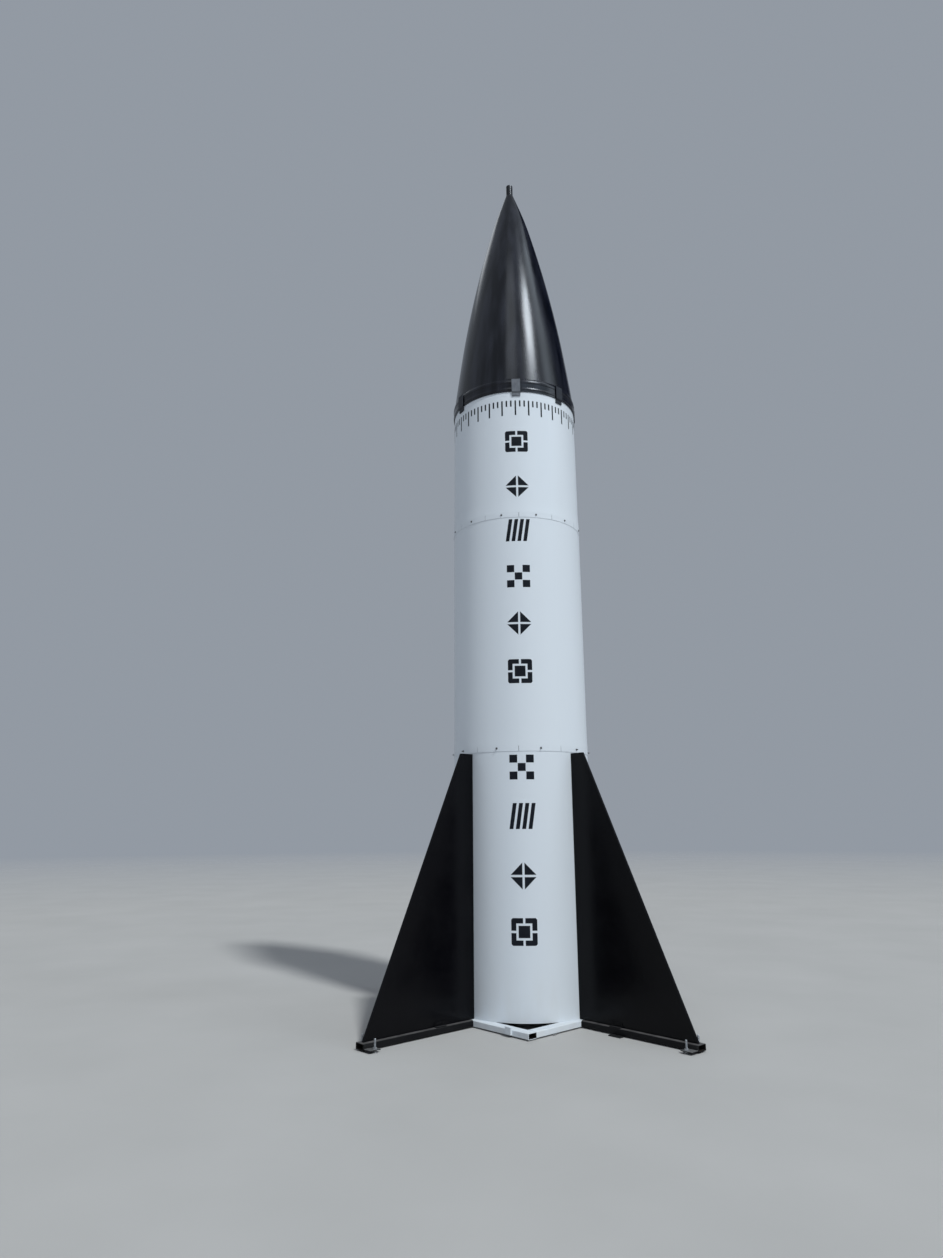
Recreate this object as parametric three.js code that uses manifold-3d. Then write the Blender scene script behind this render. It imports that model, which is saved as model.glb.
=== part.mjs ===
// A display rocket that stands on a square base frame: three rolled body sections, a long nose cone
// held down by strap plates, and four straight fins carried by outriggers with levelling feet.
// Units are millimetres, +Z is up, and the origin is on the ground under the middle of the rocket.
// The front of the rocket is towards -Y, and one corner of the base frame points that way.
import * as THREE from 'three';
import { mergeVertices } from 'three/addons/utils/BufferGeometryUtils.js';
import Module from 'manifold-3d';

const wasm = await Module();
wasm.setup();

// Heights above the ground
const TOTAL_HEIGHT = 8262;
const FRAME_CLEARANCE = 8;
const LOWER_SEAM = 2152;
const UPPER_SEAM = 4230;
const NOSE_BASE = 5474;
const NOSE_HEIGHT = 2658;

// Body
const BODY_RADIUS = 600;
const UPPER_RADIUS_LOW = 596;
const UPPER_RADIUS_HIGH = 592;
const SKIRT_RADIUS = 602.5;
const SKIRT_HEIGHT = 56;
const SKIRT_TAPER = 130;
const TURNED_STEPS = 72;

// Nose ring, nose cone and the capped tube at the tip
const RING_HEIGHT = 128;
const RING_RADIUS = 599;
const BEAD_PROUD = 3;
// the share of a bead's height at which its crest lies
const BEAD_CREST = 0.2;
// low, high: the heights above the foot of the ring between which a bead stands proud
const BEADS = [
  { low: 16, high: 42 },
  { low: 84, high: 116 },
];
const NOSE_RIM_RADIUS = 590;
const TIP_TUBE_RADIUS = 35;
const TIP_TUBE_CHAMFER = 4;

// Strap plates that hold the nose down
const STRAP_WIDTH = 80;
const STRAP_THICKNESS = 8;
const STRAP_BELOW = 45;
const STRAP_ABOVE = 124;
const STRAP_JOGGLE = 14;
const STRAP_AZIMUTHS = [1.4, 44.6, 97, 148, 199, 250, 302];

// Rectangular tube of the base frame and the outriggers
const TUBE_WIDTH = 90;
const TUBE_HEIGHT = 45;
const TUBE_WALL = 4;
const TUBE_CORNER = 6;
const FRAME_HALF_SIDE = 647;
const OUTRIGGER_END = 1700;

// Fins
const FIN_THICKNESS = 20;
const FIN_TOP = 2143;
const FIN_TOP_WIDTH = 130;
const FIN_FOOT_REACH = 1676;

// Levelling feet and their angle brackets
const BRACKET_HEIGHT = 36;
const BRACKET_THICKNESS = 6;
const BRACKET_LOW = 16;
const STUD_RADIUS = 8;
const STUD_HOLE_RADIUS = 9;
const FOOT_RADIUS = 24;
const FOOT_RIM = 4;
const NUT_RADIUS = 15;
const NUT_HEIGHT = 12;

// name: the foot's letter, place: its distance from the middle of the rocket, offset: its distance
// from the arm's centre line, reach: how far its bracket stands out, start, end: the places along
// the arm between which the bracket lies, top: the height of its stud
const FEET = [
  { name: 'a', place: 1638, offset: 100, reach: 79, start: 1604, end: 1698, top: 90 },
  { name: 'b', place: 1625, offset: 72, reach: 49, start: 1595, end: 1655, top: 92 },
];

// Small plates at the base frame
const LUG_WIDTH = 63;
const LUG_LOW = 17;
const LUG_HEIGHT = 54;
const LUG_THICKNESS = 18;
const LUG_PLACE = 448;
const FRAME_PACKER = { length: 42, width: 70, place: 360, proud: 8 };
const OUTRIGGER_PACKER = { length: 110, width: 120, place: 1000, proud: 46 };

// Faces that meet keep this gap
const SEAT = 0.3;

const TUBE_LOW = FRAME_CLEARANCE;
const TUBE_TOP = TUBE_LOW + TUBE_HEIGHT;
const BODY_LOW = TUBE_TOP + SEAT;

const WHITE_PAINT = { color: 0xd3d9e2, roughness: 0.3, metalness: 0 };
const BLACK_GLOSS = { color: 0x15161b, roughness: 0.22, metalness: 0 };
const BLACK_SATIN = { color: 0x17171b, roughness: 0.5, metalness: 0 };
const GREY_STEEL = { color: 0x6d7076, roughness: 0.6, metalness: 0.6 };
const ZINC_STEEL = { color: 0xa6aaae, roughness: 0.45, metalness: 0.9 };

const rocket = new THREE.Group();

function addPiece(parent, name, geometry, paint) {
  const piece = new THREE.Mesh(geometry, new THREE.MeshStandardMaterial(paint));
  piece.name = name;
  parent.add(piece);
  return piece;
}

// A group whose +X axis points along a direction on the ground, given in degrees from the front,
// positive towards the right
function facing(azimuth) {
  const group = new THREE.Group();
  group.rotation.z = THREE.MathUtils.degToRad(azimuth - 90);
  rocket.add(group);
  return group;
}

// A turned solid about +Z from a profile of [radius, height] points
function turned(profile, steps = TURNED_STEPS) {
  const points = profile.map(([radius, height]) => new THREE.Vector2(radius, height));
  const geometry = new THREE.LatheGeometry(points, steps);
  geometry.rotateX(Math.PI / 2);
  return geometry;
}

// A plate cut to an outline in the XZ plane, centred on Y = 0
function uprightPlate(outline, thickness) {
  const shape = new THREE.Shape(outline.map(([x, z]) => new THREE.Vector2(x, z)));
  const geometry = new THREE.ExtrudeGeometry(shape, { depth: thickness, bevelEnabled: false });
  geometry.translate(0, 0, -thickness / 2);
  geometry.rotateX(Math.PI / 2);
  return geometry;
}

function roundedRectangle(path, width, height, corner) {
  const x = width / 2;
  const y = height / 2;
  path.moveTo(-x + corner, -y);
  path.lineTo(x - corner, -y);
  path.absarc(x - corner, -y + corner, corner, -Math.PI / 2, 0);
  path.lineTo(x, y - corner);
  path.absarc(x - corner, y - corner, corner, 0, Math.PI / 2);
  path.lineTo(-x + corner, y);
  path.absarc(-x + corner, y - corner, corner, Math.PI / 2, Math.PI);
  path.lineTo(-x, -y + corner);
  path.absarc(-x + corner, -y + corner, corner, Math.PI, Math.PI * 1.5);
  return path;
}

// A flat-lying rectangular tube along +X from start to end, open at both ends
function flatTube(start, end) {
  const section = roundedRectangle(new THREE.Shape(), TUBE_WIDTH, TUBE_HEIGHT, TUBE_CORNER);
  const bore = roundedRectangle(
    new THREE.Path(),
    TUBE_WIDTH - 2 * TUBE_WALL,
    TUBE_HEIGHT - 2 * TUBE_WALL,
    TUBE_CORNER - TUBE_WALL,
  );
  section.holes.push(bore);
  const geometry = new THREE.ExtrudeGeometry(section, {
    depth: end - start,
    bevelEnabled: false,
    curveSegments: 3,
  });
  geometry.rotateX(Math.PI / 2);
  geometry.rotateZ(Math.PI / 2);
  geometry.translate(start, 0, TUBE_LOW + TUBE_HEIGHT / 2);
  return geometry;
}

function toManifold(geometry) {
  const bare = geometry.clone();
  bare.deleteAttribute('normal');
  bare.deleteAttribute('uv');
  const merged = mergeVertices(bare, 1e-4);
  return new wasm.Manifold(new wasm.Mesh({
    numProp: 3,
    vertProperties: new Float32Array(merged.attributes.position.array),
    triVerts: new Uint32Array(merged.index.array),
  }));
}

function toGeometry(solid) {
  const mesh = solid.getMesh();
  const geometry = new THREE.BufferGeometry();
  geometry.setAttribute('position', new THREE.BufferAttribute(mesh.vertProperties, 3));
  geometry.setIndex(new THREE.BufferAttribute(mesh.triVerts, 1));
  return geometry;
}

function buildBaseFrame() {
  const inset = FRAME_HALF_SIDE - TUBE_WIDTH / 2;
  const inner = FRAME_HALF_SIDE - TUBE_WIDTH - SEAT;
  // side: the name of the side, azimuth: where that side faces, reach: half the tube's length
  const sides = [
    { side: 'front_left', azimuth: -45, reach: FRAME_HALF_SIDE },
    { side: 'front_right', azimuth: 45, reach: inner },
    { side: 'back_right', azimuth: 135, reach: FRAME_HALF_SIDE },
    { side: 'back_left', azimuth: 225, reach: inner },
  ];
  for (const { side, azimuth, reach } of sides) {
    const tube = addPiece(facing(azimuth), `base_tube_${side}`, flatTube(-reach, reach), WHITE_PAINT);
    tube.rotation.z = Math.PI / 2;
    tube.position.x = inset;
  }

  const lug = new THREE.BoxGeometry(LUG_THICKNESS, LUG_WIDTH, LUG_HEIGHT);
  lug.translate(FRAME_HALF_SIDE + SEAT + LUG_THICKNESS / 2, LUG_PLACE, LUG_LOW + LUG_HEIGHT / 2);
  addPiece(facing(-45), 'base_side_lug', lug, WHITE_PAINT);
}

function buildPacker(name, azimuth, alongX, alongY, centreX, centreY) {
  const height = FRAME_CLEARANCE - SEAT;
  const packer = new THREE.BoxGeometry(alongX, alongY, height);
  packer.translate(centreX, centreY, height / 2);
  addPiece(facing(azimuth), name, packer, GREY_STEEL);
}

function buildPackers() {
  const frame = FRAME_PACKER;
  const frameCentre = FRAME_HALF_SIDE + frame.proud - frame.width / 2;
  buildPacker('base_packer', 45, frame.width, frame.length, frameCentre, -frame.place);
  const arm = OUTRIGGER_PACKER;
  const armCentre = -(TUBE_WIDTH / 2 + arm.proud - arm.width / 2);
  buildPacker('outrigger_packer', 45, arm.length, arm.width, arm.place, armCentre);
}

// An angle along the Y axis, drilled for a stud
function bracketGeometry(reach, length, drillOffset, drillPlace) {
  const wallFace = TUBE_WIDTH / 2 + SEAT;
  const low = BRACKET_LOW;
  const high = BRACKET_LOW + BRACKET_HEIGHT;
  const outline = [
    [wallFace, low],
    [wallFace + reach, low],
    [wallFace + reach, low + BRACKET_THICKNESS],
    [wallFace + BRACKET_THICKNESS, low + BRACKET_THICKNESS],
    [wallFace + BRACKET_THICKNESS, high],
    [wallFace, high],
  ];
  const angle = uprightPlate(outline, length);
  const drill = new THREE.CylinderGeometry(STUD_HOLE_RADIUS, STUD_HOLE_RADIUS, 60, 16);
  drill.rotateX(Math.PI / 2);
  drill.translate(drillOffset, drillPlace, low);
  return toGeometry(toManifold(angle).subtract(toManifold(drill)));
}

function footGeometry(top) {
  const seat = BRACKET_LOW - SEAT;
  const nutLow = BRACKET_LOW + BRACKET_THICKNESS + SEAT;
  const profile = [
    [0, 0],
    [FOOT_RADIUS, 0],
    [FOOT_RADIUS, FOOT_RIM],
    [NUT_RADIUS, seat - 3],
    [NUT_RADIUS, seat],
    [STUD_RADIUS, seat],
    [STUD_RADIUS, nutLow],
    [NUT_RADIUS, nutLow],
    [NUT_RADIUS, nutLow + NUT_HEIGHT],
    [STUD_RADIUS, nutLow + NUT_HEIGHT],
    [STUD_RADIUS, top - 2],
    [STUD_RADIUS - 2, top],
    [0, top],
  ];
  return turned(profile, 16);
}

function buildFin(azimuth, side) {
  const root = BODY_RADIUS + SEAT;
  const outline = [
    [root, TUBE_TOP + SEAT],
    [FIN_FOOT_REACH, TUBE_TOP + SEAT],
    [root + FIN_TOP_WIDTH, FIN_TOP],
    [root, FIN_TOP],
  ];
  addPiece(facing(azimuth), `fin_${side}`, uprightPlate(outline, FIN_THICKNESS), BLACK_SATIN);
}

// wideHand is the side of the arm, 1 or -1, that its wider bracket is on
function buildOutrigger(azimuth, side, wideHand) {
  const arm = facing(azimuth);
  const root = FRAME_HALF_SIDE + SEAT;
  addPiece(arm, `outrigger_${side}`, flatTube(root, OUTRIGGER_END), BLACK_SATIN);
  FEET.forEach(({ name, place, offset, reach, start, end, top }, index) => {
    const hand = index === 0 ? wideHand : -wideHand;
    const middle = (start + end) / 2;
    const angle = bracketGeometry(reach, end - start, offset, hand * (middle - place));
    const bracket = addPiece(arm, `foot_bracket_${side}_${name}`, angle, BLACK_SATIN);
    bracket.position.x = middle;
    bracket.rotation.z = hand * Math.PI / 2;
    const foot = addPiece(arm, `levelling_foot_${side}_${name}`, footGeometry(top), ZINC_STEEL);
    foot.position.set(place, hand * offset, 0);
  });
}

// The lower end of a section, whose skirt stands proud of the section beneath it
function skirtProfile(seam, radiusAbove) {
  return [
    [0, seam],
    [SKIRT_RADIUS, seam],
    [SKIRT_RADIUS, seam + SKIRT_HEIGHT],
    [radiusAbove, seam + SKIRT_HEIGHT + SKIRT_TAPER],
  ];
}

function buildBody() {
  const lower = [
    [0, BODY_LOW],
    [BODY_RADIUS, BODY_LOW],
    [BODY_RADIUS, LOWER_SEAM - SEAT],
    [0, LOWER_SEAM - SEAT],
  ];
  const middle = [
    ...skirtProfile(LOWER_SEAM, BODY_RADIUS),
    [BODY_RADIUS, UPPER_SEAM - SEAT],
    [0, UPPER_SEAM - SEAT],
  ];
  const upper = [
    ...skirtProfile(UPPER_SEAM, UPPER_RADIUS_LOW),
    [UPPER_RADIUS_HIGH, NOSE_BASE - SEAT],
    [0, NOSE_BASE - SEAT],
  ];
  addPiece(rocket, 'body_lower', turned(lower), WHITE_PAINT);
  addPiece(rocket, 'body_middle', turned(middle), WHITE_PAINT);
  addPiece(rocket, 'body_upper', turned(upper), WHITE_PAINT);
}

// The collar at the foot of the nose, with two rounded beads
function ringProfile() {
  const beads = BEADS.flatMap(({ low, high }) => {
    const crest = low + (high - low) * BEAD_CREST;
    return [
      [RING_RADIUS, NOSE_BASE + low],
      [RING_RADIUS + BEAD_PROUD, NOSE_BASE + crest],
      [RING_RADIUS + BEAD_PROUD * Math.SQRT1_2, NOSE_BASE + (crest + high) / 2],
      [RING_RADIUS, NOSE_BASE + high],
    ];
  });
  return [
    [0, NOSE_BASE],
    [RING_RADIUS, NOSE_BASE],
    ...beads,
    [RING_RADIUS - 5, NOSE_BASE + RING_HEIGHT],
    [0, NOSE_BASE + RING_HEIGHT],
  ];
}

function noseProfile() {
  // height above the foot of the nose, radius there
  const stations = [
    [RING_HEIGHT + SEAT, NOSE_RIM_RADIUS],
    [378, 557],
    [762, 501],
    [1146, 434],
    [1530, 355],
    [1914, 265],
    [2298, 163],
    [NOSE_HEIGHT, TIP_TUBE_RADIUS + 5],
  ];
  const side = new THREE.SplineCurve(stations.map(([height, radius]) => new THREE.Vector2(radius, height)));
  const skin = side.getPoints(21).map((point) => [point.x, NOSE_BASE + point.y]);
  return [
    [0, NOSE_BASE + RING_HEIGHT + SEAT],
    ...skin,
    [0, NOSE_BASE + NOSE_HEIGHT],
  ];
}

function buildNose() {
  addPiece(rocket, 'nose_ring', turned(ringProfile()), BLACK_GLOSS);
  addPiece(rocket, 'nose_cone', turned(noseProfile()), BLACK_GLOSS);
  const tubeLow = NOSE_BASE + NOSE_HEIGHT + SEAT;
  const tube = [
    [0, tubeLow],
    [TIP_TUBE_RADIUS, tubeLow],
    [TIP_TUBE_RADIUS, TOTAL_HEIGHT - TIP_TUBE_CHAMFER],
    [TIP_TUBE_RADIUS - TIP_TUBE_CHAMFER, TOTAL_HEIGHT],
    [0, TOTAL_HEIGHT],
  ];
  addPiece(rocket, 'tip_tube', turned(tube, 24), BLACK_GLOSS);
}

function buildStraps() {
  const onRing = RING_RADIUS + BEAD_PROUD + SEAT;
  const onBody = UPPER_RADIUS_HIGH + 0.5;
  const outline = [
    [onBody, -STRAP_BELOW],
    [onBody + STRAP_THICKNESS, -STRAP_BELOW],
    [onBody + STRAP_THICKNESS, -STRAP_JOGGLE - 4],
    [onRing + STRAP_THICKNESS, -1],
    [onRing + STRAP_THICKNESS, STRAP_ABOVE],
    [onRing, STRAP_ABOVE],
    [onRing, -1],
    [onBody, -STRAP_JOGGLE],
  ];
  STRAP_AZIMUTHS.forEach((azimuth, index) => {
    const strap = addPiece(
      facing(azimuth),
      `nose_strap_${index + 1}`,
      uprightPlate(outline, STRAP_WIDTH),
      index === 0 ? GREY_STEEL : BLACK_SATIN,
    );
    strap.position.z = NOSE_BASE;
  });
}

// side: the name of the arm, azimuth: its direction from the front, wideHand: as buildOutrigger has it
const ARMS = [
  { side: 'front_right', azimuth: 45, wideHand: -1 },
  { side: 'back_right', azimuth: 135, wideHand: 1 },
  { side: 'back_left', azimuth: 225, wideHand: -1 },
  { side: 'front_left', azimuth: 315, wideHand: 1 },
];

buildBaseFrame();
buildPackers();
for (const { side, azimuth, wideHand } of ARMS) {
  buildOutrigger(azimuth, side, wideHand);
  buildFin(azimuth, side);
}
buildBody();
buildNose();
buildStraps();

export default rocket;
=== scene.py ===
# Looks of the display rocket. Metres, +Z up, the ground at Z = 0, the front towards -Y.
# An azimuth is a direction on the ground in degrees from the front, positive towards the right.
import math

import bmesh
import bpy
from mathutils import Matrix, Vector


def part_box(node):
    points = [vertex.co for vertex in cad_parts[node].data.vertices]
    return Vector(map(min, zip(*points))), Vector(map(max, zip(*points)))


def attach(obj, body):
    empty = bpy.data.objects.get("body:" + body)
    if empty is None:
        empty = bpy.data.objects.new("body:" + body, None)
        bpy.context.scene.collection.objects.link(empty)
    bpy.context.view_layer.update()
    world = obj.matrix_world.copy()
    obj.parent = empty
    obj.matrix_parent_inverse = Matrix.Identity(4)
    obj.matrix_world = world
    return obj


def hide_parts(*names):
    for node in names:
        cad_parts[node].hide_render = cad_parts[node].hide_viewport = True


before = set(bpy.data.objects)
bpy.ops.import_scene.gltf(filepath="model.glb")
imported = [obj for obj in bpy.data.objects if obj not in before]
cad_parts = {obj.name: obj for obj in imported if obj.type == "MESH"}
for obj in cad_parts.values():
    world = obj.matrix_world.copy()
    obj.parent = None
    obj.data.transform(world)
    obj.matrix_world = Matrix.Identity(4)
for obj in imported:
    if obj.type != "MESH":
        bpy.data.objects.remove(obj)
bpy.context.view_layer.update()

SIDES = {"front_right": 45, "back_right": 135, "back_left": 225, "front_left": 315}

# What lies closer together than this is one point
MERGE = 0.000001

# Body sheet and the lapped seams between its sections
SHEET = 0.002
LAP = 0.045
SLIT_WIDTH = 0.003
SLIT_HEIGHT = 0.05
ROUND_STEPS = 240

# Rectangular tube
TUBE_WIDTH = 0.09
TUBE_HEIGHT = 0.045
TUBE_WALL = 0.004
TUBE_CORNER = 0.006

# Nose ring, and the heights above its foot between which its beads stand proud
RING_WALL = 0.0055
BEADS = [(0.016, 0.042), (0.084, 0.116)]
BEAD_PROUD = 0.003
# The share of a bead's height at which its crest lies
BEAD_CREST = 0.2

# Nose straps in the order of their nodes, and the screw heads in them as (radius, height) points
STRAP_AZIMUTHS = [1.4, 44.6, 97, 148, 199, 250, 302]
STRAP_THICKNESS = 0.008
STRAP_JOGGLE = 0.014
STRAP_SCREW = [(0, -0.002), (0.0085, -0.002), (0.0085, 0.0002), (0.0075, 0.0008), (0, 0.0008)]

# Fin cleats
CLEAT_PLACE = 0.97
CLEAT_LENGTH = 0.1
CLEAT_LEG = 0.036
CLEAT_THICKNESS = 0.005

# Levelling feet and their brackets
BRACKET_THICKNESS = 0.006
STUD_RADIUS = 0.008

# Plate edges, welds and threads
PLATE_EDGE = 0.0015
WELD_PITCH = 0.004
THREAD_PITCH = 0.002
THREAD_DEPTH = 0.0011

# Painted marks: how far the paint reaches out of the body and into it, and how it is cut to bend
PAINT_PROUD = 0.0005
PAINT_SUNK = 0.0003
PAINT_STRIP = 0.012

# Half the size of a mark, the width of its strokes, and half the gap between them
MARK = 0.104
MARK_STROKE = 0.05
MARK_GAP = 0.009

# Floor, and where it starts and ends to fade into the backdrop
FLOOR_RADIUS = 60
FADE_START = 12
FADE_END = 50

# The point of the rocket that the lights are aimed at
LIT_POINT = Vector((0, 0, 4))

SHARP = math.radians(28)


def span(node, azimuth):
    """The nearest and furthest distance that a CAD node reaches along a direction."""
    along = Vector((math.sin(math.radians(azimuth)), -math.cos(math.radians(azimuth)), 0))
    reached = [vert.co.dot(along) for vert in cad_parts[node].data.vertices]
    return min(reached), max(reached)


def low(node):
    """The height of a CAD node's lowest point."""
    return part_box(node)[0].z


def top(node):
    """The height of a CAD node's highest point."""
    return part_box(node)[1].z


def turned_outline(node):
    """The outline of a turned CAD node as (radius, height) pairs from its foot to its top."""
    outline = {}
    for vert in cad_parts[node].data.vertices:
        height = round(vert.co.z, 5)
        outline[height] = max(outline.get(height, 0.0), vert.co.xy.length)
    return [(outline[height], height) for height in sorted(outline)]


BODY_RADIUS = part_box("body_lower")[1].x
SKIRT_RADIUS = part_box("body_middle")[1].x
LOWER_SEAM = low("body_middle")
UPPER_SEAM = low("body_upper")
NOSE_BASE = low("nose_ring")
UPPER_OUTLINE = turned_outline("body_upper")


def body_radius_at(height):
    """The outer radius of the body there, away from the skirts: the upper section leans in a little."""
    (low_radius, low_height), (high_radius, high_height) = UPPER_OUTLINE[-2:]
    if height < low_height:
        return BODY_RADIUS
    share = (height - low_height) / (high_height - low_height)
    return low_radius + share * (high_radius - low_radius)


def facing(azimuth, distance=0.0, height=0.0):
    """A place whose own +X points outwards along an azimuth, that far from the rocket's middle."""
    turn = Matrix.Rotation(math.radians(azimuth - 90), 4, "Z")
    return turn @ Matrix.Translation((distance, 0, height))


def on_face(place):
    """The same place with its own +Z pointing outwards, for what is screwed on."""
    return place @ Matrix.Rotation(math.radians(90), 4, "Y")


# Materials


def start_finish(name, constants):
    """A material whose shader has the numbers that are the same all over set on its own sockets."""
    finish = bpy.data.materials.new(name)
    finish.use_nodes = True
    shader = finish.node_tree.nodes["Principled BSDF"]
    for socket, value in constants.items():
        shader.inputs[socket].default_value = value
    return finish


def add_node(finish, kind, inputs=(), **settings):
    """A node with its settings, and its inputs as (name, value or socket) pairs."""
    node = finish.node_tree.nodes.new(kind)
    for setting, value in settings.items():
        setattr(node, setting, value)
    for name, value in inputs:
        if isinstance(value, bpy.types.NodeSocket):
            finish.node_tree.links.new(value, node.inputs[name])
        else:
            node.inputs[name].default_value = value
    return node


def drive(finish, name, socket):
    """Feeds one of the shader's inputs from a socket."""
    shader = finish.node_tree.nodes["Principled BSDF"]
    finish.node_tree.links.new(socket, shader.inputs[name])


def grain(finish, scale, stretch=(1, 1, 1), detail=2.0, roughness=0.5):
    """Noise that stays put on the piece, from about 0.3 to 0.7. A small stretch draws it out."""
    place = add_node(finish, "ShaderNodeTexCoord").outputs["Object"]
    mapped = add_node(finish, "ShaderNodeMapping", [("Vector", place), ("Scale", stretch)])
    noise = add_node(finish, "ShaderNodeTexNoise", [
        ("Vector", mapped.outputs["Vector"]),
        ("Scale", scale),
        ("Detail", detail),
        ("Roughness", roughness),
    ])
    return noise.outputs["Fac"]


def fade(finish, height_from, height_to):
    """1 at the first height and on the far side of it from the second, 0 at the second and beyond."""
    place = add_node(finish, "ShaderNodeTexCoord").outputs["Object"]
    parts = add_node(finish, "ShaderNodeSeparateXYZ", [("Vector", place)])
    return spread(finish, parts.outputs["Z"], 1.0, 0.0, height_from, height_to)


def spread(finish, factor, to_low, to_high, from_low=0.3, from_high=0.7):
    """A factor stretched so that from_low gives to_low and from_high gives to_high."""
    ranged = add_node(finish, "ShaderNodeMapRange", [
        ("Value", factor),
        ("From Min", from_low),
        ("From Max", from_high),
        ("To Min", to_low),
        ("To Max", to_high),
    ])
    return ranged.outputs["Result"]


def times(finish, one, other):
    """The product of two factors, each a number or a socket."""
    product = add_node(finish, "ShaderNodeMath", operation="MULTIPLY")
    for socket, value in zip(product.inputs, (one, other)):
        if isinstance(value, bpy.types.NodeSocket):
            finish.node_tree.links.new(value, socket)
        else:
            socket.default_value = value
    return product.outputs["Value"]


def mix_colours(finish, factor, dull, bright):
    """A colour between two, each a colour or a socket, as the factor goes from 0 to 1."""
    mix = add_node(finish, "ShaderNodeMix", data_type="RGBA")
    # A Mix node has several sockets of each name, so its colour ones are found by their place
    for index, value in ((0, factor), (6, dull), (7, bright)):
        if isinstance(value, bpy.types.NodeSocket):
            finish.node_tree.links.new(value, mix.inputs[index])
        else:
            mix.inputs[index].default_value = (*value, 1.0)
    return mix.outputs[2]


def raise_surface(finish, layers):
    """Bumps as (height, depth in metres) layers, one laid over the other."""
    normal = None
    for height, depth in layers:
        inputs = [("Height", height), ("Distance", depth), ("Strength", 1.0)]
        if normal is not None:
            inputs.append(("Normal", normal))
        normal = add_node(finish, "ShaderNodeBump", inputs).outputs["Normal"]
    drive(finish, "Normal", normal)


def mix_white_paint():
    """Sprayed white gloss on rolled sheet: soft upright ripples, with paler, bluer bands along them painted
    into the colour as reflections, orange peel, dust near the ground.
    """
    finish = start_finish("white_gloss_paint", {"Specular IOR Level": 0.4})
    ripples = grain(finish, 2.2, stretch=(1, 1, 0.04), detail=1.0)
    film = grain(finish, 9.0, stretch=(1, 1, 0.3), detail=3.0)
    # The colour follows the ripples: paler, bluer bands that are painted reflections.
    paint = mix_colours(
        finish, spread(finish, ripples, 0.0, 1.0), (0.652, 0.704, 0.76), (0.687, 0.735, 0.785)
    )
    dust = times(finish, fade(finish, 0.03, 0.5), spread(finish, film, 0.0, 0.3))
    drive(finish, "Base Color", mix_colours(finish, dust, paint, (0.55, 0.54, 0.51)))
    drive(finish, "Roughness", spread(finish, film, 0.28, 0.36))
    raise_surface(finish, [(ripples, 0.003), (grain(finish, 260), 0.00006)])
    return finish


def mix_nose_black():
    """Black gloss over moulding: drawn-out soft streaks, a fine peel, and long upright bands of paler
    colour that are painted reflections.
    """
    finish = start_finish("nose_gloss_black_painted_reflections", {"Specular IOR Level": 0.4})
    streaks = grain(finish, 5.0, stretch=(1, 1, 0.05), detail=2.0)
    reflection_bands = grain(finish, 9.0, stretch=(1, 1, 0.015), detail=2.0)
    film = grain(finish, 3.0, stretch=(1, 1, 0.4), detail=4.0, roughness=0.6)
    # The paler upright bands in the colour are painted reflections of the studio round the nose.
    drive(finish, "Base Color", mix_colours(
        finish, spread(finish, reflection_bands, 0.0, 1.0, 0.4, 0.65), (0.002, 0.0025, 0.005), (0.015, 0.0165, 0.024)
    ))
    drive(finish, "Roughness", spread(finish, film, 0.17, 0.24))
    raise_surface(finish, [(streaks, 0.002), (grain(finish, 300), 0.00004)])
    return finish


def mix_satin_black(name, dull, pale, dust_and_highlight_top=None, rough=(0.42, 0.58)):
    """Black satin on steel, greyer and rougher in patches. At and above the given top height the colour
    turns paler: partly dust, partly a painted highlight on the top.
    """
    finish = start_finish(name, {"Specular IOR Level": 0.15})
    patches = grain(finish, 4.0, detail=6.0, roughness=0.65)
    colour = mix_colours(
        finish, spread(finish, patches, 0.0, 1.0), (dull, dull, dull + 0.001), (pale, pale, pale + 0.001)
    )
    if dust_and_highlight_top:
        # The top band is painted paler: dust, and a painted highlight where light falls on the top.
        dust_and_highlight_band = fade(finish, dust_and_highlight_top, dust_and_highlight_top - 0.003)
        dust = times(finish, dust_and_highlight_band, spread(finish, grain(finish, 9.0, detail=4.0), 0.3, 0.9))
        colour = mix_colours(finish, dust, colour, (0.125, 0.12, 0.12))
    drive(finish, "Base Color", colour)
    drive(finish, "Roughness", spread(finish, patches, *rough))
    raise_surface(finish, [(grain(finish, 3.0, detail=2.0), 0.002), (grain(finish, 350), 0.00006)])
    return finish


def mix_shade_primer():
    """Very dark dull primer, rusty in patches. Inside the tubes it is partly their bare inside and partly
    painted shade; under the laps it is painted shade that darkens the slits.
    """
    finish = start_finish("dark_primer_painted_shade", {"Specular IOR Level": 0.2})
    patches = grain(finish, 18.0, detail=5.0, roughness=0.6)
    drive(finish, "Base Color", mix_colours(
        finish, spread(finish, patches, 0.0, 1.0), (0.008, 0.009, 0.012), (0.02, 0.015, 0.011)
    ))
    drive(finish, "Roughness", spread(finish, patches, 0.6, 0.8))
    raise_surface(finish, [(patches, 0.0002)])
    return finish


def mix_strap_steel(name, dull, pale):
    """Coated steel between two greys, with upright scratches and a few pale rubs."""
    finish = start_finish(name, {"Metallic": 0.3, "Specular IOR Level": 0.4})
    scratches = grain(finish, 90.0, stretch=(1, 1, 0.04), detail=4.0, roughness=0.7)
    patches = grain(finish, 22.0, detail=5.0, roughness=0.6)
    steel = mix_colours(finish, spread(finish, patches, 0.0, 1.0), dull, pale)
    rubbed = [min(2 * part, 1.0) for part in pale]
    rubs = spread(finish, scratches, 0.0, 0.5, 0.55, 0.72)
    drive(finish, "Base Color", mix_colours(finish, rubs, steel, rubbed))
    drive(finish, "Roughness", spread(finish, patches, 0.42, 0.6))
    raise_surface(finish, [(scratches, 0.0001), (patches, 0.0002)])
    return finish


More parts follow.
